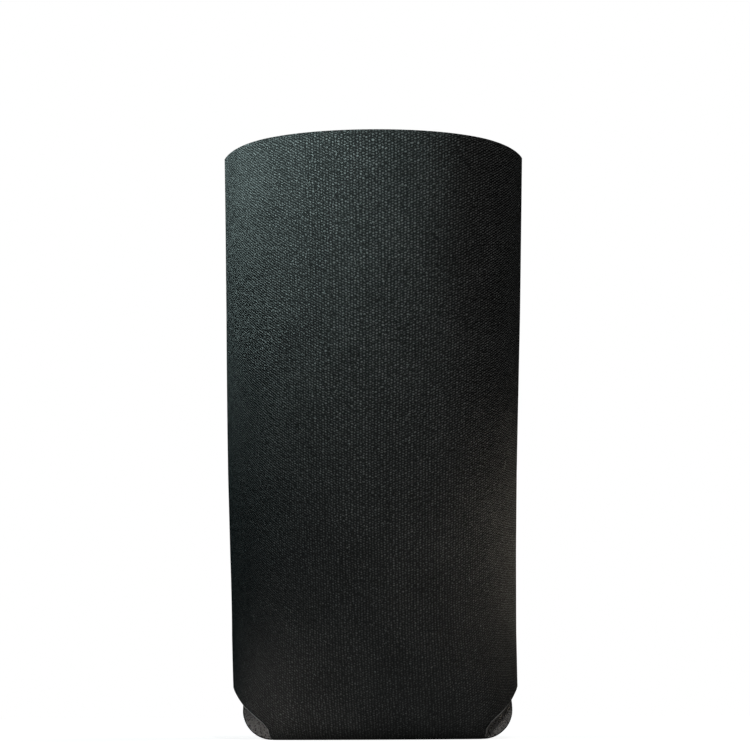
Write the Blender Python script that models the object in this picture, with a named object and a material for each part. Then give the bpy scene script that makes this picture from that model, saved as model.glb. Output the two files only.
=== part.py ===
# Collapsible can cooler sleeve for a slim drinks can.
# One die-cut blank of knit-faced foam is folded under the can: front panel, base, back panel.
# Zigzag lockstitch seams join the two panels at the left and the right.
# Metres, +Z up, the origin at the middle of the underside, the front panel towards -Y.

import math

import bmesh
import bpy
from mathutils import Vector

# The can that the sleeve is made for
can_radius = 0.02865

# The laminated sheet
sheet_thickness = 0.0036
sleeve_height = 0.132

# Outside half widths of the opened sleeve, from its axis
seam_reach_top = 0.03455
seam_reach_low = 0.03182
base_reach = 0.0300  # from the axis to the front of the fold under the can
front_reach = can_radius + sheet_thickness
settle_height = 0.030  # above this the panels follow the can's wall

# How square each quarter of the plan is (0.5523 is a true quarter circle)
squareness_top = 0.57
front_squareness_low = 0.74
side_squareness_low = 0.80
seam_peak = math.radians(4)  # lean of each panel where the two meet
mitre_length = 0.006  # over this the thickness turns square to the butt joint

# The fold and the die line
fold_radius = 0.0052  # outside radius, so the inner face is nearly creased
fold_straightness = 0.75  # 1 keeps the crease straight, 0 bends it round the can
blank_half_width = 0.0510
neck_half_width = 0.0247  # the blank is this narrow across the fold
clip_height = 0.0138  # the side seams stop this far above the table
clip_turn = 0.39  # the share of the fold's turn that the clipped corner reaches down to
clip_bow = 0.62  # under 1, so the clipped edge bows a little
clip_corner_round = 0.0030
ear_width = 0.0128  # how far each rounded ear of the base stands out of the neck
ear_half_length = 0.0215
ear_radius = 0.0065  # outside radius that each ear curls up round the can's bottom edge
base_tuck = 0.945  # the foam gathers this much across the base

# The sewn edges
seam_gap = 0.0003  # between the two butted cut edges
pinch_outside = 0.0008  # how deep the stitches press the outer face in
pinch_inside = 0.0005
pinch_width = 0.0045
thread_radius = 0.00018
thread_clearance = 0.0003
needle_inset = 0.0027  # needle holes to cut edge
stitch_step = 0.0020  # along the seam, from one needle hole to the next on the other panel
stitch_end_margin = 0.0025

# How finely the blank is divided
neck_columns = 8
panel_columns = 10
upper_rows = 6
lower_rows = 8
fold_rows = 5
base_rows = 8
ear_columns = 4
plan_samples = 60

fold_arc = fold_radius * math.pi / 2
base_flat = base_reach - fold_radius  # along the strip, from the middle of the base to the fold
panel_start = base_flat + fold_arc
strip_end = panel_start + sleeve_height - fold_radius
clip_low = panel_start - fold_arc * clip_turn
clip_high = panel_start + clip_height - fold_radius
rows_turn = panel_start + settle_height
weld_distance = 1e-6


def ease(value, start, end):
    """0 before start, 1 after end, and a smooth step between."""
    share = min(1.0, max(0.0, (value - start) / (end - start)))
    return share * share * (3 - 2 * share)


def mix(low, high, share):
    return low + (high - low) * share


def plan_curve(height):
    """The quarter of the outer plan at this height, as points from the front to the seam."""
    settled = ease(height, fold_radius, settle_height)
    front = mix(base_reach, front_reach, settled)
    seam = mix(seam_reach_low, seam_reach_top, height / sleeve_height)
    front_handle = mix(front_squareness_low, squareness_top, settled) * seam
    side_handle = mix(side_squareness_low, squareness_top, settled) * front
    a = Vector((0, -front))
    b = Vector((front_handle, -front))
    c = Vector((seam - side_handle * math.sin(seam_peak), -side_handle * math.cos(seam_peak)))
    d = Vector((seam, 0))
    points = []
    for i in range(plan_samples + 1):
        t = i / plan_samples
        r = 1 - t
        points.append(a * r**3 + b * 3 * t * r**2 + c * 3 * t**2 * r + d * t**3)
    return points


def walk(points, share):
    """The point and the outward direction at this share of the curve's length."""
    steps = [(q - p).length for p, q in zip(points, points[1:])]
    left = share * sum(steps)
    for i, step in enumerate(steps):
        if left <= step or i == len(steps) - 1:
            break
        left -= step
    along = points[i + 1] - points[i]
    outward = Vector((along.y, -along.x)).normalized()
    return points[i] + along * (left / step), outward


def wall(height, across):
    """Where the outer face stands at this height and distance across the blank."""
    place, outward = walk(plan_curve(height), across / blank_half_width)
    square = ease(across, blank_half_width - mitre_length, blank_half_width)
    crease = fold_straightness * (1 - ease(height, fold_radius, settle_height))
    crease *= 1 - ease(across, neck_half_width, blank_half_width)
    outward = outward.lerp(Vector((0, -1)), crease).lerp(Vector((1, 0)), square).normalized()
    # The seam line itself keeps half the joint's gap.
    place.y -= seam_gap / 2 * square
    return place, outward


def depth_in_sheet(across, along, depth):
    """Depth under the true outer face, once the stitches have pressed both faces in."""
    near_seam = ease(across, blank_half_width - pinch_width, blank_half_width - needle_inset / 2)
    near_seam *= ease(along, base_flat, panel_start)
    outer = pinch_outside * near_seam
    inner = sheet_thickness - pinch_inside * near_seam
    if depth < 0:
        return outer + depth
    if depth > sheet_thickness:
        return inner + depth - sheet_thickness
    return mix(outer, inner, depth / sheet_thickness)


def folded(across, along, depth):
    """Takes a point of the flat blank to its place in the folded sleeve.
    across and along are measured on the outer face from the middle of the base."""
    side = math.copysign(1, across)
    end = math.copysign(1, along)
    across, along = abs(across), abs(along)
    depth = depth_in_sheet(across, along, depth)
    if along >= panel_start:
        height = fold_radius + along - panel_start
        place, outward = wall(height, across)
        flat = place - outward * depth
    else:
        place, outward = wall(fold_radius, across)
        turn = min(1.0, (panel_start - along) / fold_arc) * math.pi / 2
        radius = fold_radius - depth
        flat = place - outward * (fold_radius - radius * math.cos(turn))
        height = fold_radius - radius * math.sin(turn)
    if along < base_flat:
        flat, height = base_and_ear(across, along, depth)
    return Vector((side * flat.x, end * flat.y, height))


def base_and_ear(across, along, depth):
    """The base lies flat, and past the neck it curls up as an ear round the can."""
    inside = min(across, neck_half_width)
    edge, outward = wall(fold_radius, inside)
    edge -= outward * fold_radius
    share = along / base_flat
    flat = Vector((mix(inside * base_tuck, edge.x, share * share), edge.y * share))
    if across <= neck_half_width:
        return flat, depth
    turn = (across - neck_half_width) / ear_radius
    past = max(0.0, turn - math.pi / 2) * ear_radius
    turn = min(turn, math.pi / 2)
    radius = ear_radius - depth
    flat.x += radius * math.sin(turn)
    return flat, ear_radius - radius * math.cos(turn) + past


def clip_line(across):
    """How far down the panel reaches, along the strip, at this distance across."""
    if across <= neck_half_width:
        return clip_low
    share = (across - neck_half_width) / (blank_half_width - neck_half_width)
    line = mix(clip_low, clip_high - clip_corner_round / 2, share**clip_bow)
    # The corner beside the seam is rounded.
    from_corner = max(0.0, across - (blank_half_width - clip_corner_round))
    rounding = clip_corner_round - math.sqrt(max(0.0, clip_corner_round**2 - from_corner**2))
    return line + rounding / 2


def ear_reach(along):
    """Half width of the base at this distance from its middle: an ellipse past the neck."""
    share = min(1.0, along / ear_half_length)
    return neck_half_width + ear_width * math.sqrt(1 - share * share)


def add_patch(bm, columns, rows, place):
    """A grid whose vertices go where place(column share, row share) says."""
    made = bmesh.ops.create_grid(bm, x_segments=columns, y_segments=rows, size=0.5)
    for vert in made["verts"]:
        vert.co = place(vert.co.x + 0.5, vert.co.y + 0.5)


def quarter_blank(bm):
    """One quarter of the flat blank, from the middle of the base."""
    def upper(low, high):
        def place(column, row):
            across = mix(low, high, column)
            return Vector((across, mix(rows_turn, strip_end, row), 0))
        return place

    def lower(low, high):
        def place(column, row):
            across = mix(low, high, column)
            return Vector((across, mix(clip_line(across), rows_turn, row**1.6), 0))
        return place

    def fold(column, row):
        return Vector((neck_half_width * column, mix(base_flat, clip_low, row), 0))

    def base(column, row):
        return Vector((neck_half_width * column, row_of_base(row), 0))

    def ear(column, row):
        along = min(row_of_base(row), ear_half_length)
        return Vector((mix(neck_half_width, ear_reach(along), column), along, 0))

    def row_of_base(row):
        # The last row but one lies on the line where the ears begin.
        last = (base_rows - 1) / base_rows
        if row > last + weld_distance:
            return base_flat
        return ear_half_length * math.sin(row / last * math.pi / 2)

    add_patch(bm, neck_columns, upper_rows, upper(0, neck_half_width))
    add_patch(bm, panel_columns, upper_rows, upper(neck_half_width, blank_half_width))
    add_patch(bm, neck_columns, lower_rows, lower(0, neck_half_width))
    add_patch(bm, panel_columns, lower_rows, lower(neck_half_width, blank_half_width))
    add_patch(bm, neck_columns, fold_rows, fold)
    add_patch(bm, neck_columns, base_rows, base)
    add_patch(bm, ear_columns, base_rows, ear)
    bmesh.ops.remove_doubles(bm, verts=bm.verts, dist=weld_distance)
    bmesh.ops.dissolve_degenerate(bm, edges=bm.edges, dist=weld_distance)


def flat_blank(bm):
    """The whole die-cut blank with its outer face at depth 0 and its inner face below."""
    quarter_blank(bm)
    for axis in ("X", "Y"):
        everything = bm.verts[:] + bm.edges[:] + bm.faces[:]
        bmesh.ops.mirror(bm, geom=everything, axis=axis, merge_dist=weld_distance)
    bmesh.ops.recalc_face_normals(bm, faces=bm.faces)
    made = bmesh.ops.extrude_face_region(bm, geom=bm.faces[:])
    for vert in [item for item in made["geom"] if isinstance(item, bmesh.types.BMVert)]:
        vert.co.z = sheet_thickness


def material(name, colour, roughness):
    made = bpy.data.materials.new(name)
    made.use_nodes = True
    shader = made.node_tree.nodes["Principled BSDF"]
    shader.inputs["Base Color"].default_value = (*colour, 1)
    shader.inputs["Roughness"].default_value = roughness
    shader.inputs["Metallic"].default_value = 0
    return made


def foam_sheet():
    bm = bmesh.new()
    flat_blank(bm)
    for vert in bm.verts:
        vert.co = folded(*vert.co)
    bmesh.ops.recalc_face_normals(bm, faces=bm.faces)
    mesh = bpy.data.meshes.new("foam_sheet")
    bm.to_mesh(mesh)
    bm.free()
    mesh.shade_smooth()
    mesh.set_sharp_from_angle(angle=math.radians(50))
    mesh.materials.append(material("black_knit_on_foam", (0.012, 0.013, 0.013), 0.9))
    sheet = bpy.data.objects.new("foam_sheet", mesh)
    bpy.context.collection.objects.link(sheet)
    return sheet


def seam_thread(name, side, depth, over_ridge, finish):
    """A zigzag thread down one seam: needle hole on the front panel, then on the back."""
    highest = strip_end - stitch_end_margin
    lowest = clip_high + stitch_end_margin
    count = int((highest - lowest) / stitch_step)
    inset = blank_half_width - needle_inset
    points = []
    for i in range(count + 1):
        end = -1 if i % 2 == 0 else 1
        along = highest - i * stitch_step
        points.append(folded(side * inset, end * along, depth))
        if over_ridge and i < count:
            ridge = folded(side * blank_half_width, end * (along - stitch_step / 2), depth)
            points.append(Vector((ridge.x, 0, ridge.z)))
    curve = bpy.data.curves.new(name, "CURVE")
    curve.dimensions = "3D"
    curve.bevel_depth = thread_radius
    curve.bevel_resolution = 1
    curve.use_fill_caps = True
    spline = curve.splines.new("POLY")
    spline.points.add(len(points) - 1)
    for knot, point in zip(spline.points, points):
        knot.co = (*point, 1)
    curve.materials.append(finish)
    thread = bpy.data.objects.new(name, curve)
    bpy.context.collection.objects.link(thread)
    return thread


def main():
    for old in list(bpy.data.objects):
        bpy.data.objects.remove(old)
    sheet = foam_sheet()
    finish = material("black_polyester_thread", (0.010, 0.010, 0.011), 0.6)
    off_face = thread_radius + thread_clearance
    for word, side in (("left", -1), ("right", 1)):
        needle = seam_thread(f"{word}_needle_thread", side, -off_face, True, finish)
        inner = sheet_thickness + off_face
        bobbin = seam_thread(f"{word}_bobbin_thread", side, inner, False, finish)
        needle.parent = sheet
        bobbin.parent = sheet


main()
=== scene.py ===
import math
import random

import bmesh
import bpy
import numpy as np
from mathutils import Matrix, Vector


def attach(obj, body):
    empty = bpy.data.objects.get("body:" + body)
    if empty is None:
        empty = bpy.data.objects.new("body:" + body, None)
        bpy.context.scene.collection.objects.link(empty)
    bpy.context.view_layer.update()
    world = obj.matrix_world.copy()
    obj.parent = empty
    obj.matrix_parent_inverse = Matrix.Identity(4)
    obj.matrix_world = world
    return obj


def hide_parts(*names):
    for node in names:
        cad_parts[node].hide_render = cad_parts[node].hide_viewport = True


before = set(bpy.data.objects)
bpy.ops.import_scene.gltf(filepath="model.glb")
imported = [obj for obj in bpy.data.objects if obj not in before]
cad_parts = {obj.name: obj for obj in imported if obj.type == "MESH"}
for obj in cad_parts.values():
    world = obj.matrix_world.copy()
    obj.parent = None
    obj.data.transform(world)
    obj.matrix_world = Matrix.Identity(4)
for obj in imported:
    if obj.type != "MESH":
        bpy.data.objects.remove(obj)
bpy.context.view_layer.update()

mm = 0.001


def smoothStep(value, start, end):
    share = np.clip((value - start) / (end - start), 0, 1)
    return share * share * (3 - 2 * share)


def mix(low, high, share):
    return low + (high - low) * share


def linearColour(hexColour):
    channels = [int(hexColour[i:i + 2], 16) / 255 for i in (1, 3, 5)]
    return [c / 12.92 if c <= 0.04045 else ((c + 0.055) / 1.055) ** 2.4 for c in channels] + [1]


def newMaterial(name):
    material = bpy.data.materials.new(name)
    material.use_nodes = True
    tree = material.node_tree
    return material, tree, tree.nodes["Principled BSDF"]


def addNode(tree, kind, inputs=(), output=0, **settings):
    node = tree.nodes.new(kind)
    for key, value in settings.items():
        setattr(node, key, value)
    # inputs go by place or by name, and each is a value or another node's output
    for key, value in (inputs if isinstance(inputs, dict) else dict(enumerate(inputs))).items():
        if isinstance(value, bpy.types.NodeSocket):
            tree.links.new(value, node.inputs[key])
        else:
            node.inputs[key].default_value = value
    return node.outputs[output]


def linkPiece(name, data):
    piece = bpy.data.objects.new(name, data)
    bpy.context.scene.collection.objects.link(piece)
    return piece


camera = dict(
    distance=600 * mm,  # from the sleeve's axis
    height=6 * mm,  # above the table
    pitch=7.22,  # degrees, up
    turn=-0.036,  # degrees
    roll=-0.28,
    focalPixels=2657,  # in the photograph's 750 pixels
)
cameraData = bpy.data.cameras.new("productCamera")
cameraData.sensor_width = 36
cameraData.lens = camera["focalPixels"] * 36 / 750
cameraData.clip_start = 0.01
cameraObject = linkPiece("productCamera", cameraData)
turnMatrix = Matrix.Rotation(math.radians(camera["turn"]), 4, "Z")
pitchMatrix = Matrix.Rotation(math.radians(90 + camera["pitch"]), 4, "X")
rollMatrix = Matrix.Rotation(math.radians(camera["roll"]), 4, "Z")
place = Matrix.Translation((0, -camera["distance"], camera["height"]))
cameraObject.matrix_world = place @ turnMatrix @ pitchMatrix @ rollMatrix
bpy.context.scene.camera = cameraObject
print("camera placed")


# the sleeve is one flat blank, as in the part's drawing, folded under the base and joined down both sides
sleeve = dict(
    sheetThickness=3.6 * mm,
    height=132 * mm,
    frontReach=32.25 * mm,  # the reaches are from the sleeve's axis to its outer face
    seamReachTop=34.55 * mm,
    seamReachLow=31.82 * mm,
    baseReach=30.0 * mm,
    settleHeight=30 * mm,  # above this the panels stand straight up
    squarenessTop=0.57,  # how square each quarter of the plan is; 0.5523 is a quarter circle
    frontSquarenessLow=0.74,
    sideSquarenessLow=0.80,
    seamPeak=4,  # degrees each panel leans to its seam
    mitreLength=6 * mm,  # over this the edge turns square to the joint
    foldRadius=5.2 * mm,
    foldStraightness=0.75,  # 1 is a straight crease, 0 a round one
    blankHalfWidth=51.0 * mm,
    neckHalfWidth=24.7 * mm,  # at the fold
    clipHeight=13.8 * mm,  # the seams stop this far above the table
    clipTurn=0.39,  # share of the fold that the clipped corner reaches down to
    clipBow=0.62,
    clipCornerRound=3.0 * mm,
    earWidth=12.8 * mm,
    earHalfLength=21.5 * mm,
    earRadius=6.5 * mm,  # each ear curls up by this
    baseTuck=0.945,  # the foam gathers this much across the base
    pinchOutside=0.8 * mm,  # how deep the stitches press the faces in
    pinchInside=0.5 * mm,
    pinchWidth=4.5 * mm,
)
fold = sleeve["foldRadius"] * math.pi / 2
baseFlat = sleeve["baseReach"] - sleeve["foldRadius"]
panelStart = baseFlat + fold
stripEnd = panelStart + sleeve["height"] - sleeve["foldRadius"]
clipLow = panelStart - fold * sleeve["clipTurn"]
clipHigh = panelStart + sleeve["clipHeight"] - sleeve["foldRadius"]


def buildPlanTable(rows=201, columns=129):
    heights = np.linspace(0, sleeve["height"], rows)
    settled = smoothStep(heights, sleeve["foldRadius"], sleeve["settleHeight"])
    front = mix(sleeve["baseReach"], sleeve["frontReach"], settled)
    seam = mix(sleeve["seamReachLow"], sleeve["seamReachTop"], heights / sleeve["height"])
    peak = math.radians(sleeve["seamPeak"])
    frontHandle = mix(sleeve["frontSquarenessLow"], sleeve["squarenessTop"], settled) * seam
    sideHandle = mix(sleeve["sideSquarenessLow"], sleeve["squarenessTop"], settled) * front
    t = np.linspace(0, 1, 400)[None, :]
    r = 1 - t
    zero = np.zeros_like(front)
    knots = (
        (zero, -front),
        (frontHandle, -front),
        (seam - sideHandle * math.sin(peak), -sideHandle * math.cos(peak)),
        (seam, zero),
    )
    weights = (r**3, 3 * t * r**2, 3 * t**2 * r, t**3)
    x = sum(w * k[0][:, None] for w, k in zip(weights, knots))
    y = sum(w * k[1][:, None] for w, k in zip(weights, knots))
    table = np.zeros((rows, columns, 2))
    shares = np.linspace(0, 1, columns)
    for i in range(rows):
        steps = np.hypot(np.diff(x[i]), np.diff(y[i]))
        along = np.concatenate([[0], np.cumsum(steps)]) / steps.sum()
        table[i, :, 0] = np.interp(shares, along, x[i])
        table[i, :, 1] = np.interp(shares, along, y[i])
    return table


planTable = buildPlanTable()

# how the soft sleeve sits on the table, a little away from its drawn form
sit = dict(
    # height and shift to the right, in mm
    lean=((12, 0.10), (23, -0.17), (41, -0.28), (59, -0.24), (77, -0.03), (95, 0.15), (132, 0.22)),
    baseSlip=0.50 * mm,  # the base lies this far to the right of the panels
    rimDip=0.55 * mm,  # the seams draw the rim down beside them
    wave=0.22 * mm,  # slack in the panels
    slackStart=(6, 40),  # mm above the table, from none to all of it
    slackEnd=(100, 132),
    rimHold=0.4,  # the share of it that the rim takes away again
    waves=((3, 23, 0.6, 0.5), (5, -17, 2.1, 0.35), (2, 41, 4.0, 0.4)),  # count round, mm up, phase, share
)


def lookUp(height, share):
    rows, columns = planTable.shape[:2]
    i = np.clip(height / sleeve["height"], 0, 1) * (rows - 1)
    j = np.clip(share, 0, 1) * (columns - 1)
    i0 = np.minimum(i.astype(int), rows - 2)
    j0 = np.minimum(j.astype(int), columns - 2)
    fi, fj = (i - i0)[:, None], (j - j0)[:, None]
    low = mix(planTable[i0, j0], planTable[i0, j0 + 1], fj)
    high = mix(planTable[i0 + 1, j0], planTable[i0 + 1, j0 + 1], fj)
    return mix(low, high, fi)


def wall(height, across):
    share = across / sleeve["blankHalfWidth"]
    step = 1 / 256
    place = lookUp(height, share)
    ahead = lookUp(height, np.minimum(share + step, 1)) - lookUp(height, np.maximum(share - step, 0))
    outward = np.stack([ahead[:, 1], -ahead[:, 0]], 1)
    outward /= np.linalg.norm(outward, axis=1)[:, None]
    halfWidth = sleeve["blankHalfWidth"]
    crease = 1 - smoothStep(height, sleeve["foldRadius"], sleeve["settleHeight"])
    crease *= sleeve["foldStraightness"] * (1 - smoothStep(across, sleeve["neckHalfWidth"], halfWidth))
    square = smoothStep(across, halfWidth - sleeve["mitreLength"], halfWidth)
    outward = mix(outward, np.array([[0.0, -1.0]]), crease[:, None])
    outward = mix(outward, np.array([[1.0, 0.0]]), square[:, None])
    outward /= np.linalg.norm(outward, axis=1)[:, None]
    return place, outward


def foldBlank(flat):
    side = np.where(flat[:, 0] < 0, -1.0, 1.0)
    end = np.where(flat[:, 1] < 0, -1.0, 1.0)
    across, along, depth = np.abs(flat[:, 0]), np.abs(flat[:, 1]), flat[:, 2].copy()
    radiusFold, neck = sleeve["foldRadius"], sleeve["neckHalfWidth"]

    # the stitches press both faces in beside the seam
    halfWidth, thickness = sleeve["blankHalfWidth"], sleeve["sheetThickness"]
    near = smoothStep(across, halfWidth - sleeve["pinchWidth"], halfWidth - stitches["needleInset"] / 2)
    near = near * smoothStep(along, baseFlat, panelStart)
    outer = sleeve["pinchOutside"] * near
    inner = thickness - sleeve["pinchInside"] * near
    share = np.clip(depth / thickness, 0, 1)
    depth = mix(outer, inner, share) + np.minimum(depth, 0) + np.maximum(depth - thickness, 0)

    # panels, and the fold under them
    height = np.where(along >= panelStart, radiusFold + along - panelStart, radiusFold)
    place, outward = wall(height, across)
    turn = np.clip((panelStart - along) / fold, 0, 1) * math.pi / 2
    reach = np.where(along >= panelStart, -depth, (radiusFold - depth) * np.cos(turn) - radiusFold)
    spot = place + outward * reach[:, None]
    height = np.where(along >= panelStart, height, radiusFold - (radiusFold - depth) * np.sin(turn))

    # base, and the ears that curl up from it
    onBase = along < baseFlat
    inside = np.minimum(across, neck)
    edge, outward = wall(np.full_like(across, radiusFold), inside)
    edge = edge - outward * radiusFold
    share = along / baseFlat
    x = mix(inside * sleeve["baseTuck"], edge[:, 0], share**2)
    y = edge[:, 1] * share
    overhang = np.maximum(across - neck, 0)
    earRadius = sleeve["earRadius"]
    past = np.maximum(overhang / earRadius - math.pi / 2, 0) * earRadius
    turn = np.minimum(overhang / earRadius, math.pi / 2)
    x = x + (earRadius - depth) * np.sin(turn)
    baseHeight = np.where(overhang > 0, earRadius - (earRadius - depth) * np.cos(turn) + past, depth)
    spot = np.where(onBase[:, None], np.stack([x, y], 1), spot)
    height = np.where(onBase, baseHeight, height)
    slip = sit["baseSlip"] * (1 - smoothStep(along, baseFlat, clipHigh))
    dip = sit["rimDip"] * smoothStep(across, neck, halfWidth) * smoothStep(along, clipHigh, stripEnd)
    height = height - dip
    return np.stack([side * spot[:, 0] + slip, end * spot[:, 1], height], 1)


blank = dict(
    neckColumns=18,
    panelColumns=32,
    upperRows=112,
    lowerRows=34,
    foldRows=9,
    baseRows=20,
    earColumns=12,
    seamFineness=0.55,  # how much narrower the columns are beside the seam
    edgeRound=0.30 * mm,  # how far the cut edges are rounded over
    edgeLean=0.40 * mm,  # how far the foam stands out past the knit at the clipped corners
    edgeLevels=(0, 0.20, 0.42, 0.65, 1.5, 2.7, 3.4, 3.6),  # mm under the knit face
    rowGrowth=1.25,  # over 1, so the rows are finest beside the clipped corners
)


def clipLine(across):
    share = (across - sleeve["neckHalfWidth"]) / (sleeve["blankHalfWidth"] - sleeve["neckHalfWidth"])
    if share <= 0:
        return clipLow
    cornerRound = sleeve["clipCornerRound"]
    line = mix(clipLow, clipHigh - cornerRound / 2, share ** sleeve["clipBow"])
    fromCorner = max(0, across - (sleeve["blankHalfWidth"] - cornerRound))
    return line + (cornerRound - math.sqrt(max(0, cornerRound**2 - fromCorner**2))) / 2


def addPatch(bm, columns, rows, place):
    for vert in bmesh.ops.create_grid(bm, x_segments=columns, y_segments=rows, size=0.5)["verts"]:
        vert.co = place(vert.co.x + 0.5, vert.co.y + 0.5)


def addQuarterBlank(bm):
    neck, halfWidth = sleeve["neckHalfWidth"], sleeve["blankHalfWidth"]
    turnRow = panelStart + sleeve["settleHeight"]
    lastRow = (blank["baseRows"] - 1) / blank["baseRows"]

    def panelAcross(column):
        fine = blank["seamFineness"]
        return mix(neck, halfWidth, column + fine * column * (1 - column))

    def lowerPlace(across, row):
        return (across, mix(clipLine(across), turnRow, row ** blank["rowGrowth"]), 0)

    def baseAlong(row):
        if row > lastRow + 1e-6:
            return baseFlat
        return sleeve["earHalfLength"] * math.sin(row / lastRow * math.pi / 2)

    def earPlace(column, row):
        along = min(baseAlong(row), sleeve["earHalfLength"])
        reach = sleeve["earWidth"] * math.sqrt(max(0, 1 - (along / sleeve["earHalfLength"]) ** 2))
        return (neck + reach * column, along, 0)

    upperRows, lowerRows = blank["upperRows"], blank["lowerRows"]
    neckColumns, panelColumns = blank["neckColumns"], blank["panelColumns"]
    addPatch(bm, neckColumns, upperRows, lambda c, r: (neck * c, mix(turnRow, stripEnd, r), 0))
    addPatch(bm, panelColumns, upperRows, lambda c, r: (panelAcross(c), mix(turnRow, stripEnd, r), 0))
    addPatch(bm, neckColumns, lowerRows, lambda c, r: lowerPlace(neck * c, r))
    addPatch(bm, panelColumns, lowerRows, lambda c, r: lowerPlace(panelAcross(c), r))
    addPatch(bm, neckColumns, blank["foldRows"], lambda c, r: (neck * c, mix(baseFlat, clipLow, r), 0))
    addPatch(bm, neckColumns, blank["baseRows"], lambda c, r: (neck * c, baseAlong(r), 0))
    addPatch(bm, blank["earColumns"], blank["baseRows"], earPlace)


def inwardAlong(vert):  # the direction from a cut edge into the blank
    total = Vector((0, 0, 0))
    for edge in vert.link_edges:
        if edge.is_boundary:
            middle = (edge.verts[0].co + edge.verts[1].co) / 2
            line = (edge.verts[1].co - edge.verts[0].co).normalized()
            inward = edge.link_faces[0].calc_center_median() - middle
            total += (inward - line * inward.dot(line)).normalized()
    return total.normalized()


def makeSleeveMesh():
    bm = bmesh.new()
    addQuarterBlank(bm)
    bmesh.ops.remove_doubles(bm, verts=bm.verts, dist=1e-6)
    bmesh.ops.dissolve_degenerate(bm, edges=bm.edges, dist=1e-6)
    for axis in ("X", "Y"):
        bmesh.ops.mirror(bm, geom=bm.verts[:] + bm.edges[:] + bm.faces[:], axis=axis, merge_dist=1e-6)
    bmesh.ops.recalc_face_normals(bm, faces=bm.faces)
    inwardLayer = bm.verts.layers.float_vector.new("inward")
    for vert in bm.verts:
        if vert.is_boundary:
            vert[inwardLayer] = inwardAlong(vert)

    # thickness, with rings round the cut edge
    made = bmesh.ops.extrude_face_region(bm, geom=bm.faces[:])
    for item in made["geom"]:
        if isinstance(item, bmesh.types.BMVert):
            item.co.z = 1
    sides = [edge for edge in bm.edges if abs(edge.verts[0].co.z - edge.verts[1].co.z) > 0.5]
    bmesh.ops.subdivide_edges(bm, edges=sides, cuts=len(blank["edgeLevels"]) - 2, use_grid_fill=True)
    uvLayer = bm.loops.layers.uv.new("blank")
    depthLayer = bm.verts.layers.float.new("depth")
    levels = len(blank["edgeLevels"]) - 1
    for face in bm.faces:
        deepest = max(vert.co.z for vert in face.verts) * levels
        face.material_index = 0 if deepest < 1.5 else 1
        for loop in face.loops:
            loop[uvLayer].uv = (loop.vert.co.x / mm, loop.vert.co.y / mm)
    bm.verts.ensure_lookup_table()
    flat = np.array([vert.co for vert in bm.verts])
    inward = np.array([vert[inwardLayer] for vert in bm.verts])
    level = np.round(flat[:, 2] * levels).astype(int)
    flat[:, 2] = np.array(blank["edgeLevels"])[level] * mm
    cornerRound = blank["edgeRound"]
    toFace = np.minimum(flat[:, 2], sleeve["sheetThickness"] - flat[:, 2])
    toFace = np.clip(toFace, 0, cornerRound)
    inset = cornerRound - np.sqrt(cornerRound**2 - (cornerRound - toFace) ** 2)
    clipped = (np.abs(flat[:, 1]) > baseFlat) & (np.abs(flat[:, 1]) < clipHigh)
    inset -= np.where(clipped, blank["edgeLean"] * smoothStep(flat[:, 2], 0.1 * mm, 0.6 * mm), 0)
    flat[:, :2] += inward[:, :2] * inset[:, None]
    spots = settle(foldBlank(pressStitches(flat)))
    for vert, spot, depth in zip(bm.verts, spots, flat[:, 2]):
        vert.co = spot
        vert[depthLayer] = depth / mm
    bm.verts.layers.float_vector.remove(inwardLayer)
    bmesh.ops.recalc_face_normals(bm, faces=bm.faces)
    mesh = bpy.data.meshes.new("knitFoamSleeve")
    bm.to_mesh(mesh)
    bm.free()
    mesh.shade_smooth()
    return mesh


stitches = dict(
    needleInset=2.7 * mm,  # needle holes to cut edge
    step=2.0 * mm,  # along the seam, from one hole to the next on the other panel
    endMargin=2.5 * mm,
    holeRadius=0.75 * mm,
    holeDepth=0.45 * mm,
    grooveWidth=0.5 * mm,
    grooveDepth=0.22 * mm,
    lockDepth=1.8 * mm,  # where the two threads lock, inside the foam
    plyRadius=0.09 * mm,
    plyOffset=0.09 * mm,
    twistPitch=0.9 * mm,
    samples=7,
    # share of the way to the next hole, mm from the joint, share of the way out of the foam
    threadPath=((0, -2.7, 0), (0.01, -2.6595, 0.72), (0.08, -2.35, 1), (0.32, -1, 1),
                (0.5, 0, 1), (0.68, 1, 1), (0.92, 2.35, 1), (0.99, 2.6595, 0.72)),
)
stitchTop = stripEnd - stitches["endMargin"]
stitchCount = int((stitchTop - clipHigh - stitches["endMargin"]) / stitches["step"])


def stitchHoles():  # (signed distance from the joint, along) of each needle hole
    inset = stitches["needleInset"]
    return [((-inset, inset)[i % 2], stitchTop - i * stitches["step"]) for i in range(stitchCount + 1)]


def pressStitches(flat):  # dimples and grooves under the threads, on both faces
    thickness = sleeve["sheetThickness"]
    fromJoint = sleeve["blankHalfWidth"] - np.abs(flat[:, 0])
    joint = np.where(flat[:, 1] < 0, -fromJoint, fromJoint)
    along = np.abs(flat[:, 1])
    press = np.zeros(len(flat))

    # only points within a few millimetres of the seam, and then of each stitch, are looked at
    near = np.flatnonzero((fromJoint < 5 * mm) & (along > clipHigh - 2 * mm))
    holes = np.array(stitchHoles())
    points = np.stack([joint[near], along[near]], 1)
    for start, end in zip(holes, holes[1:]):
        close = np.abs(points[:, 1] - (start[1] + end[1]) / 2) < 3 * mm
        some = points[close]
        line = end - start
        share = np.clip(((some - start) @ line) / (line @ line), 0, 1)
        gap = np.linalg.norm(some - (start + share[:, None] * line), axis=1)
        groove = stitches["grooveDepth"] * np.exp(-((gap / stitches["grooveWidth"]) ** 2))
        hole = np.linalg.norm(some - start, axis=1)
        dimple = stitches["holeDepth"] * np.exp(-((hole / stitches["holeRadius"]) ** 2))
        index = near[close]
        press[index] = np.maximum(press[index], np.maximum(groove, dimple))
    flat = flat.copy()
    share = flat[:, 2] / thickness
    flat[:, 2] += press * (1 - 2 * share)
    return flat


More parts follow.
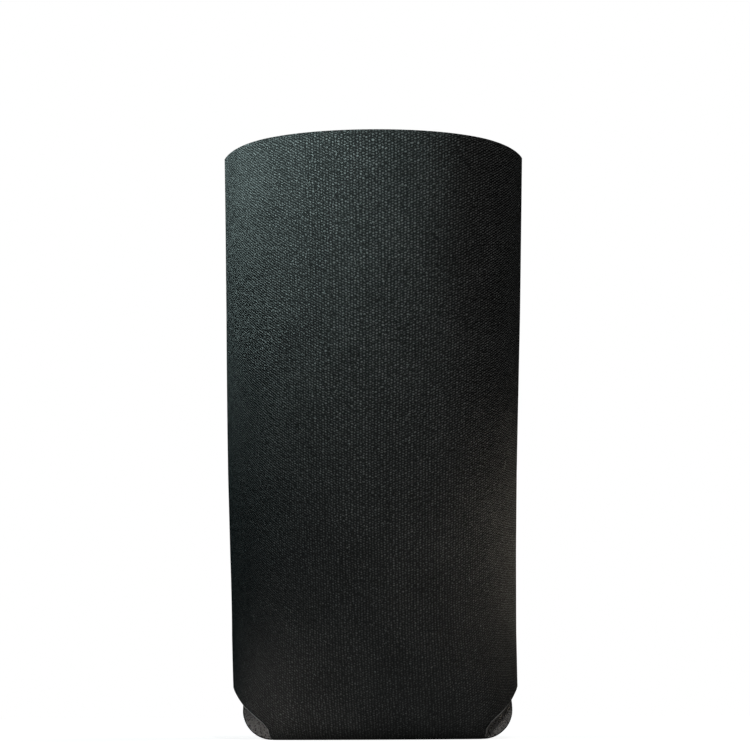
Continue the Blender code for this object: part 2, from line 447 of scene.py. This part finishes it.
def seamPath(side, faceDepth):
    lock = stitches["lockDepth"]
    knots = []
    holes = stitchHoles()
    for (hole, along), (nextHole, nextAlong) in zip(holes, holes[1:]):
        way = math.copysign(1, nextHole - hole)
        for share, fromJoint, out in stitches["threadPath"]:
            knots.append((way * fromJoint * mm, mix(along, nextAlong, share), mix(lock, faceDepth, out)))
    knots.append((*holes[-1], lock))
    knots = np.array(knots)
    flat = np.zeros_like(knots)
    flat[:, 0] = side * (sleeve["blankHalfWidth"] - np.abs(knots[:, 0]))
    flat[:, 1] = np.where(knots[:, 0] < 0, -1, 1) * knots[:, 1]
    flat[:, 2] = knots[:, 2]
    spots = foldBlank(flat)
    spots[knots[:, 0] == 0, 1] = 0  # it crosses the joint here
    return settle(smoothPath(spots, stitches["samples"]))


def smoothPath(knots, samples):  # a curve through every knot
    padded = np.vstack([2 * knots[0] - knots[1], knots, 2 * knots[-1] - knots[-2]])
    p0, p1, p2, p3 = padded[:-3], padded[1:-2], padded[2:-1], padded[3:]
    pieces = []
    for i in range(samples):
        t = i / samples
        pieces.append(0.5 * (2 * p1 + (p2 - p0) * t + (2 * p0 - 5 * p1 + 4 * p2 - p3) * t**2
                             + (3 * p1 - p0 - 3 * p2 + p3) * t**3))
    path = np.stack(pieces, 1).reshape(-1, 3)
    return np.vstack([path, knots[-1]])


def twistPlies(path, plies, offset, pitch):
    tangents = np.gradient(path, axis=0)
    tangents /= np.linalg.norm(tangents, axis=1)[:, None]
    travelled = np.concatenate([[0], np.cumsum(np.linalg.norm(np.diff(path, axis=0), axis=1))])
    normal = np.cross(tangents[0], (0, 0, 1))
    normals = []
    for tangent in tangents:
        normal = normal - tangent * normal.dot(tangent)
        normal = normal / np.linalg.norm(normal)
        normals.append(normal)
    normals = np.array(normals)
    sideways = np.cross(tangents, normals)
    strands = []
    for ply in range(plies):
        angle = (2 * math.pi * (travelled / pitch + ply / plies))[:, None]
        strands.append(path + offset * (normals * np.cos(angle) + sideways * np.sin(angle)))
    return strands


def makeTubes(name, strands, radius, material, resolution=1):
    curve = bpy.data.curves.new(name, "CURVE")
    curve.dimensions = "3D"
    curve.bevel_depth = radius
    curve.bevel_resolution = resolution
    curve.use_fill_caps = True
    for strand in strands:
        spline = curve.splines.new("POLY")
        spline.points.add(len(strand) - 1)
        spline.points.foreach_set("co", np.hstack([strand, np.ones((len(strand), 1))]).ravel())
    curve.materials.append(material)
    return linkPiece(name, curve)


def settle(spots):
    spots = spots.copy()
    heights, shifts = zip(*sit["lean"])
    x, y, z = spots[:, 0] / mm, spots[:, 1] / mm, spots[:, 2] / mm
    angle = np.arctan2(y, x)
    free = smoothStep(z, *sit["slackStart"]) * (1 - sit["rimHold"] * smoothStep(z, *sit["slackEnd"]))
    wave = sum(part * np.sin(count * angle + z / rise + phase) for count, rise, phase, part in sit["waves"])
    reach = np.hypot(spots[:, 0], spots[:, 1]) + 1e-9
    push = sit["wave"] * wave * free
    spots[:, 0] += spots[:, 0] / reach * push + np.interp(z, heights, shifts) * mm
    spots[:, 1] += spots[:, 1] / reach * push
    return spots


knit = dict(
    columnPitch=0.684,  # mm between neighbouring columns of stitches, each dropped by half a row
    stretch=0.002,  # per mm to the right, how much further apart the columns are pulled
    closing=0.13,  # how much closer the columns lie at the base than at the rim
    rowPitchBase=0.49,  # mm between rows at the base, where nothing stretches the knit
    rowPitchRim=0.64,
    bowLow=0.0112,  # per mm from the middle, how much the rows rise towards the seams
    bowRim=0.0042,
    scatter=0.25,  # mm, how unevenly the stitches sit
    scatterScale=1.1,  # this scale and the next ones are per mm
    # from and to so many mm across or along the blank, and the value at each
    risingLines=(-28, 12, 0.12, 0.66),  # how far the rising slanted lines show against the falling ones
    columnShare=(clipHigh / mm, 100, 0.46, 0.30),  # how far the columns read as lines
    closedSides=(14, 34, 0, 1),  # towards the sides the columns close up and hide
    sideColumns=0.15,  # the share of them that still shows there
    sideFlecks=0.6,  # and how far wide flecks take the place of fine ones
    contrast=(clipHigh / mm, 100, 0.40, 0.70),  # low down the unstretched knit hides its pits
    contrastLeft=(-38, -16, 1.65, 1),
    contrastRight=(16, 38, 1, 1.6),
    calmLeft=(-34, -14, 1, 0),  # the corner at the left of the rim has less contrast again
    calmTop=(115, 150, 0, 1),
    calmContrast=0.56,
    middleTone=0.27,  # the tone that contrast leaves as it is
    fleckScale=1.7,  # flecks of darker and paler stitches
    sideFleckScale=0.7,
    patchScale=0.11,  # worn and brushed patches
    # from and to these levels of a wave or a noise, and the value at each
    dome=(-0.3, 0.95, 0, 1),  # from the pit between stitches to the top of a stitch
    fleck=(0.32, 0.68, 0, 1.5),
    sideFleck=(0.32, 0.68, 0.44, 0.98),
    patch=(0.3, 0.7, 0.88, 1.12),
    domeHeight=0.08,  # mm
    moteSpacing=2.6,  # mm between specks of dust
    moteRadius=0.055,  # of that spacing, at most
    moteStrength=0.45,
    # the stitch tops' colour is the black yarn's own tone with a painted highlight; the gap colour of the
    # pits is painted shade
    yarnAndHighlight="#767675",
    gap="#020202",
    dust="#8d9290",
)


def blackPolyesterKnit():  # fine knit bonded to foam: small matt dots in columns, painted pale on the stitch tops as highlights, with painted shade in the dark pits between them
    material, tree, shader = newMaterial("blackPolyesterKnit")
    rim, low = stripEnd / mm, clipHigh / mm
    uv = addNode(tree, "ShaderNodeUVMap", uv_map="blank")
    flecks = []
    for scale in (knit["fleckScale"], knit["sideFleckScale"]):
        flecks.append(addNode(tree, "ShaderNodeTexNoise", {"Vector": uv, "Scale": scale, "Roughness": 0.6},
                              noise_dimensions="2D"))
    patches = addNode(tree, "ShaderNodeTexNoise",
                      {"Vector": uv, "Scale": knit["patchScale"], "Detail": 3, "Roughness": 0.6},
                      noise_dimensions="2D")

    # the stitches sit a little unevenly
    shift = addNode(tree, "ShaderNodeTexNoise",
                    {"Vector": uv, "Scale": knit["scatterScale"], "Detail": 1, "Roughness": 0.6},
                    "Color", noise_dimensions="2D")
    shift = addNode(tree, "ShaderNodeVectorMath", (shift, (0.5, 0.5, 0.5)), operation="SUBTRACT")
    scatter = [2 * knit["scatter"]] * 3
    spot = addNode(tree, "ShaderNodeVectorMath", (shift, scatter, uv), operation="MULTIPLY_ADD")
    across = addNode(tree, "ShaderNodeSeparateXYZ", (spot,))
    along = addNode(tree, "ShaderNodeMath", (across.node.outputs["Y"],), operation="ABSOLUTE")

    # the rows rise towards the seams
    bow = addNode(tree, "ShaderNodeMapRange", (along, low, rim, knit["bowLow"] / 2, knit["bowRim"] / 2))
    onPanel = addNode(tree, "ShaderNodeMapRange", (along, 0, low, 0, 1))
    bow = addNode(tree, "ShaderNodeMath", (bow, onPanel), operation="MULTIPLY")
    square = addNode(tree, "ShaderNodeMath", (across, across), operation="MULTIPLY")
    drop = addNode(tree, "ShaderNodeMath", (square, bow), operation="MULTIPLY")
    level = addNode(tree, "ShaderNodeMath", (along, drop), operation="SUBTRACT")

    # rows and columns as angles, a full turn for each stitch
    baseRate, rimRate = 2 * math.pi / knit["rowPitchBase"], 2 * math.pi / knit["rowPitchRim"]
    growth = (rimRate - baseRate) / 2 / rim
    rate = addNode(tree, "ShaderNodeMath", (level, growth, baseRate), operation="MULTIPLY_ADD")
    row = addNode(tree, "ShaderNodeMath", (level, rate), operation="MULTIPLY")
    columnRate = math.pi / knit["columnPitch"]
    closedRate = columnRate * (1 + knit["closing"])
    pull = addNode(tree, "ShaderNodeMath", (across, -knit["stretch"], 1), operation="MULTIPLY_ADD")
    pulled = addNode(tree, "ShaderNodeMath", (across, pull), operation="MULTIPLY")
    rate = addNode(tree, "ShaderNodeMapRange", (along, 0, rim, closedRate, columnRate))
    column = addNode(tree, "ShaderNodeMath", (pulled, rate), operation="MULTIPLY")

    # two slanting waves cross in a dot at every stitch, and a third draws the columns
    waves = []
    for operation in ("ADD", "SUBTRACT"):
        slant = addNode(tree, "ShaderNodeMath", (column, row), operation=operation)
        waves.append(addNode(tree, "ShaderNodeMath", (slant,), operation="COSINE"))
    rising = addNode(tree, "ShaderNodeMapRange", (across, *knit["risingLines"]))
    dots = addNode(tree, "ShaderNodeMix", {0: rising, 2: waves[0], 3: waves[1]})
    double = addNode(tree, "ShaderNodeMath", (column, 2), operation="MULTIPLY")
    lines = addNode(tree, "ShaderNodeMath", (double,), operation="COSINE")
    fromMiddle = addNode(tree, "ShaderNodeMath", (across,), operation="ABSOLUTE")
    sideways = addNode(tree, "ShaderNodeMapRange", (fromMiddle, *knit["closedSides"]))
    share = addNode(tree, "ShaderNodeMapRange", (along, *knit["columnShare"]))
    shown = addNode(tree, "ShaderNodeMapRange", (sideways, 0, 1, 1, knit["sideColumns"]))
    share = addNode(tree, "ShaderNodeMath", (share, shown), operation="MULTIPLY")
    relief = addNode(tree, "ShaderNodeMix", {0: share, 2: dots, 3: lines})
    # the dome runs from painted shade in the pits to a painted highlight on each stitch top, and also raises
    # the bump
    dome = addNode(tree, "ShaderNodeMapRange", (relief, *knit["dome"]))

    # some stitches catch more light than others
    coarse = addNode(tree, "ShaderNodeMapRange", (sideways, 0, 1, 0, knit["sideFlecks"]))
    fine = addNode(tree, "ShaderNodeMapRange", (flecks[0], *knit["fleck"]))
    wide = addNode(tree, "ShaderNodeMapRange", (flecks[1], *knit["sideFleck"]))
    fleck = addNode(tree, "ShaderNodeMix", {0: coarse, 2: fine, 3: wide})
    lit = addNode(tree, "ShaderNodeMath", (dome, fleck), operation="MULTIPLY")

    # contrast, by place on the panel
    contrast = addNode(tree, "ShaderNodeMapRange", (along, *knit["contrast"]))
    for key in ("contrastLeft", "contrastRight"):
        side = addNode(tree, "ShaderNodeMapRange", (across, *knit[key]))
        contrast = addNode(tree, "ShaderNodeMath", (contrast, side), operation="MULTIPLY")
    calmLeft = addNode(tree, "ShaderNodeMapRange", (across, *knit["calmLeft"]))
    calmTop = addNode(tree, "ShaderNodeMapRange", (along, *knit["calmTop"]))
    calm = addNode(tree, "ShaderNodeMath", (calmLeft, calmTop), operation="MULTIPLY")
    calm = addNode(tree, "ShaderNodeMapRange", (calm, 0, 1, 1, knit["calmContrast"]))
    contrast = addNode(tree, "ShaderNodeMath", (contrast, calm), operation="MULTIPLY")
    middle = knit["middleTone"]
    lit = addNode(tree, "ShaderNodeMath", (lit, middle), operation="SUBTRACT")
    lit = addNode(tree, "ShaderNodeMath", (lit, contrast, middle), operation="MULTIPLY_ADD")
    patch = addNode(tree, "ShaderNodeMapRange", (patches, *knit["patch"]))
    lit = addNode(tree, "ShaderNodeMath", (lit, patch), operation="MULTIPLY")
    # painted shade in the pits, painted highlight on the stitch tops
    gap, yarnAndHighlight = linearColour(knit["gap"]), linearColour(knit["yarnAndHighlight"])
    colour = addNode(tree, "ShaderNodeMix", {0: lit, 6: gap, 7: yarnAndHighlight}, 2, data_type="RGBA")

    # dust caught in the knit, a speck in every few square millimetres
    motes = addNode(tree, "ShaderNodeTexVoronoi",
                    {"Vector": uv, "Scale": 1 / knit["moteSpacing"], "Randomness": 1},
                    "Distance", voronoi_dimensions="2D")
    size = addNode(tree, "ShaderNodeSeparateColor", (motes.node.outputs["Color"],))
    radius = knit["moteRadius"]
    reach = addNode(tree, "ShaderNodeMath", (size, 2 * radius, -radius), operation="MULTIPLY_ADD")
    speck = addNode(tree, "ShaderNodeMath", (motes, reach), operation="LESS_THAN")
    speck = addNode(tree, "ShaderNodeMath", (speck, knit["moteStrength"]), operation="MULTIPLY")
    dust = linearColour(knit["dust"])
    colour = addNode(tree, "ShaderNodeMix", {0: speck, 6: colour, 7: dust}, 2, data_type="RGBA")
    tree.links.new(colour, shader.inputs["Base Color"])
    depth = knit["domeHeight"] * mm
    bump = addNode(tree, "ShaderNodeBump", {"Height": dome, "Strength": 0.9, "Distance": depth})
    tree.links.new(bump, shader.inputs["Normal"])
    shader.inputs["Roughness"].default_value = 0.95
    shader.inputs["Specular IOR Level"].default_value = 0.04
    return material


foam = dict(
    cellSize=0.45,  # mm
    grainSize=0.625,  # mm, broken and merged cells
    poreDepth=0.2,  # mm
    rimHighlightDepth=0.8,  # mm of foam behind the knit painted pale at the clipped corners, a painted highlight where the cut edge catches the light
    rimHighlightColour="#c4c2c0",
    wallColour="#8c8a89",
    poreColour="#302f2f",
)


def greyPolyetherFoam():  # open-cell foam, cut with a knife: grey, dry, with small dark pores
    material, tree, shader = newMaterial("greyPolyetherFoam")
    place = addNode(tree, "ShaderNodeTexCoord", output="Object")
    cells = addNode(tree, "ShaderNodeTexVoronoi", {"Vector": place, "Scale": 1 / mm / foam["cellSize"]})
    pore = addNode(tree, "ShaderNodeMapRange", (cells, 0.10, 0.55), interpolation_type="SMOOTHSTEP")
    grain = addNode(tree, "ShaderNodeTexNoise",
                    {"Vector": place, "Scale": 1 / mm / foam["grainSize"], "Detail": 4})
    height = addNode(tree, "ShaderNodeMath", (pore, grain), operation="MULTIPLY")
    shade = addNode(tree, "ShaderNodeMapRange", (height, 0.05, 0.55))
    poreColour, wallColour = linearColour(foam["poreColour"]), linearColour(foam["wallColour"])
    colour = addNode(tree, "ShaderNodeMix", {0: shade, 6: poreColour, 7: wallColour}, 2, data_type="RGBA")

    # a painted highlight: the pale rim of the clipped corners' cut edge, where it catches the light
    uv = addNode(tree, "ShaderNodeUVMap", uv_map="blank")
    along = addNode(tree, "ShaderNodeSeparateXYZ", (uv,), "Y")
    along = addNode(tree, "ShaderNodeMath", (along,), operation="ABSOLUTE")
    middle = (baseFlat + clipHigh) / 2 / mm
    onCorner = addNode(tree, "ShaderNodeMath", (along, middle, middle - baseFlat / mm), operation="COMPARE")
    depth = addNode(tree, "ShaderNodeAttribute", output="Fac", attribute_name="depth")
    rim = addNode(tree, "ShaderNodeMapRange", (depth, foam["rimHighlightDepth"], 0.3))
    rim = addNode(tree, "ShaderNodeMath", (rim, onCorner), operation="MULTIPLY")
    rimHighlightColour = linearColour(foam["rimHighlightColour"])
    colour = addNode(tree, "ShaderNodeMix", {0: rim, 6: colour, 7: rimHighlightColour}, 2, data_type="RGBA")
    tree.links.new(colour, shader.inputs["Base Color"])
    depth = foam["poreDepth"] * mm
    bump = addNode(tree, "ShaderNodeBump", {"Height": height, "Strength": 0.8, "Distance": depth})
    tree.links.new(bump, shader.inputs["Normal"])
    shader.inputs["Roughness"].default_value = 0.95
    shader.inputs["Specular IOR Level"].default_value = 0.2
    return material


thread = dict(
    # the black thread's own tone, lightened by a painted sheen
    colour="#434547",
    fibreColour="#202122",
    fibreSize=1 / 9,  # mm, several times a real fibre, which would be too fine to show
    fibreDepth=0.03,  # mm
)


def blackPolyesterThread():  # spun sewing thread: fine fibres along each ply, a dull sheen, and a sheen painted into its pale colour
    material, tree, shader = newMaterial("blackPolyesterThread")
    place = addNode(tree, "ShaderNodeTexCoord", output="Object")
    fibre = addNode(tree, "ShaderNodeTexNoise", {"Vector": place, "Scale": 1 / mm / thread["fibreSize"]})
    # the thread's colour holds a painted sheen
    fibreColour, threadAndSheenColour = linearColour(thread["fibreColour"]), linearColour(thread["colour"])
    colour = addNode(tree, "ShaderNodeMix", {0: fibre, 6: fibreColour, 7: threadAndSheenColour}, 2, data_type="RGBA")
    tree.links.new(colour, shader.inputs["Base Color"])
    depth = thread["fibreDepth"] * mm
    bump = addNode(tree, "ShaderNodeBump", {"Height": fibre, "Strength": 0.4, "Distance": depth})
    tree.links.new(bump, shader.inputs["Normal"])
    shader.inputs["Roughness"].default_value = 0.55
    shader.inputs["Sheen Weight"].default_value = 0.2
    return material


lint = dict(
    count=70,
    radius=0.016 * mm,
    shortest=0.7 * mm,
    longest=2.4 * mm,
    margin=4 * mm,  # from the seams and the rim
    headingSpread=0.7,  # radians either side of upright
    bend=1.2,  # radians from end to end, at most
    lowest=0.05 * mm,  # over the knit
    loft=0.12 * mm,
    darkColour="#6f7472",
    paleColour="#b4b6b0",
    toneScale=120,  # per metre, so the tone drifts from one fibre to the next
    seed=11,
)


def paleLint():  # stray cotton fibres
    material, tree, shader = newMaterial("paleLint")
    place = addNode(tree, "ShaderNodeTexCoord", output="Object")
    tone = addNode(tree, "ShaderNodeTexNoise", {"Vector": place, "Scale": lint["toneScale"]})
    darkColour, paleColour = linearColour(lint["darkColour"]), linearColour(lint["paleColour"])
    colour = addNode(tree, "ShaderNodeMix", {0: tone, 6: darkColour, 7: paleColour}, 2, data_type="RGBA")
    tree.links.new(colour, shader.inputs["Base Color"])
    shader.inputs["Roughness"].default_value = 0.7
    return material


sleevePiece = linkPiece("knitFoamSleeve", makeSleeveMesh())
sleevePiece.data.materials.append(blackPolyesterKnit())
sleevePiece.data.materials.append(greyPolyetherFoam())
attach(sleevePiece, "root")
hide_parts("foam_sheet")
print("sleeve made:", len(sleevePiece.data.polygons), "faces")

threadMaterial = blackPolyesterThread()
for sideName, side in (("left", -1), ("right", 1)):
    for word, faceDepth in (("needle", 0), ("bobbin", sleeve["sheetThickness"])):
        path = seamPath(side, faceDepth)
        plies = twistPlies(path, 3, stitches["plyOffset"], stitches["twistPitch"])
        piece = makeTubes(f"{sideName}{word.title()}Thread", plies, stitches["plyRadius"], threadMaterial)
        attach(piece, "root")
        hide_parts(f"{sideName}_{word}_thread")
print("threads made")


def lintStrands():
    chance = random.Random(lint["seed"])
    strands = []
    for _ in range(lint["count"]):
        length = chance.uniform(lint["shortest"], lint["longest"])
        across = chance.uniform(-1, 1) * (sleeve["blankHalfWidth"] - lint["margin"])
        along = chance.uniform(clipHigh + lint["margin"] / 2, stripEnd - lint["margin"])
        along *= chance.choice((-1, 1))  # front or back panel
        heading = chance.gauss(math.pi / 2, lint["headingSpread"])
        bend = chance.uniform(-lint["bend"], lint["bend"])
        knots = []
        for i in range(5):
            lift = lint["lowest"] + lint["loft"] * math.sin(math.pi * i / 4) * chance.random()
            knots.append((across, along, -lift))
            across += math.cos(heading) * length / 4
            along += math.sin(heading) * length / 4
            heading += bend / 4
        strands.append(smoothPath(settle(foldBlank(np.array(knots))), 3))
    return strands


lintPiece = makeTubes("lintFibres", lintStrands(), lint["radius"], paleLint(), resolution=0)
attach(lintPiece, "root")
print("lint made")


studio = dict(
    floorRadius=2.0,
    floorDrop=0.05 * mm,  # the floor lies this far under the base, so the two faces don't meet
    floorColour="#f4f4f4",
    floorGlow=0.88,  # close round the sleeve, low enough for its shadow to show
    farGlow=0.97,
    glowStart=50 * mm,  # from the sleeve's axis
    glowEnd=160 * mm,
    ambient=0.100,
    roomTurn=(0.6, -0.9),  # where the room's light begins and ends its change from right to left
    roomLeft="#58dcf2",  # what little light the room gives is cool on the left
    roomRight="#fff3ee",
)
lamps = dict(
    coolKey=dict(place=(-0.215, -0.172, 0.22), target=(-0.025, -0.01, 0.16), size=0.08,
                 power=0.112, colour="#d6f4f4", spread=39),
    softFront=dict(place=(0.035, -0.49, 0.23), target=(0, 0, 0.06), size=0.05,
                   power=0.057, colour="#fffefb", spread=60),
    warmFill=dict(place=(0.28, -0.10, 0.12), target=(0.025, 0, 0.040), size=0.03,
                  power=0.0038, colour="#fff3df", spread=14),
    lowLeft=dict(place=(-0.20, -0.30, 0.17), target=(-0.024, -0.02, 0.003), size=0.03,
                 power=0.00085, colour="#fff4ee", spread=7),
)


def palePaper():  # matt backdrop paper: white to the camera, and pale where the sleeve shades it
    material, tree, shader = newMaterial("palePaperFloor")
    shader.inputs["Base Color"].default_value = linearColour(studio["floorColour"])
    shader.inputs["Roughness"].default_value = 0.8
    shader.inputs["Specular IOR Level"].default_value = 0.0
    place = addNode(tree, "ShaderNodeTexCoord", output="Object")
    away = addNode(tree, "ShaderNodeVectorMath", (place,), "Value", operation="LENGTH")
    reach = (studio["glowStart"], studio["glowEnd"], studio["floorGlow"], studio["farGlow"])
    glow = addNode(tree, "ShaderNodeMapRange", (away, *reach), interpolation_type="SMOOTHSTEP")
    seen = addNode(tree, "ShaderNodeLightPath", output="Is Camera Ray")
    glow = addNode(tree, "ShaderNodeMath", (glow, seen), operation="MULTIPLY")
    shader.inputs["Emission Color"].default_value = (1, 1, 1, 1)
    tree.links.new(glow, shader.inputs["Emission Strength"])
    return material


bm = bmesh.new()
under = Matrix.Translation((0, 0, -studio["floorDrop"]))
bmesh.ops.create_circle(bm, cap_ends=True, segments=96, radius=studio["floorRadius"], matrix=under)
floorMesh = bpy.data.meshes.new("paperFloor")
bm.to_mesh(floorMesh)
bm.free()
floor = linkPiece("paperFloor", floorMesh)
floor.data.materials.append(palePaper())

for name, lamp in lamps.items():
    data = bpy.data.lights.new(name, "AREA")
    data.shape = "DISK"
    data.size = lamp["size"]
    data.energy = lamp["power"]
    data.color = linearColour(lamp["colour"])[:3]
    data.spread = math.radians(lamp["spread"])
    lampObject = linkPiece(name, data)
    lampObject.location = lamp["place"]
    aim = Vector(lamp["target"]) - Vector(lamp["place"])
    lampObject.rotation_euler = aim.to_track_quat("-Z", "Y").to_euler()

world = bpy.data.worlds.new("whiteStudio")
bpy.context.scene.world = world
world.use_nodes = True
tree = world.node_tree
background = tree.nodes["Background"]
seen = addNode(tree, "ShaderNodeLightPath", output="Is Camera Ray")
through = seen.node.outputs["Is Transmission Ray"]
seen = addNode(tree, "ShaderNodeMath", (seen, through), operation="MAXIMUM")
direction = addNode(tree, "ShaderNodeTexCoord", output="Generated")
fromLeft = addNode(tree, "ShaderNodeSeparateXYZ", (direction,), "X")
fromLeft = addNode(tree, "ShaderNodeMapRange", (fromLeft, *studio["roomTurn"]))
roomRight, roomLeft = linearColour(studio["roomRight"]), linearColour(studio["roomLeft"])
room = addNode(tree, "ShaderNodeMix", {0: fromLeft, 6: roomRight, 7: roomLeft}, 2, data_type="RGBA")
room = addNode(tree, "ShaderNodeMix", {0: seen, 6: room, 7: (1, 1, 1, 1)}, 2, data_type="RGBA")
strength = addNode(tree, "ShaderNodeMapRange", (seen, 0, 1, studio["ambient"], 1))
tree.links.new(room, background.inputs["Color"])
tree.links.new(strength, background.inputs["Strength"])
bpy.context.scene.view_settings.view_transform = "Standard"
print("floor and light set")

bpy.context.view_layer.update()
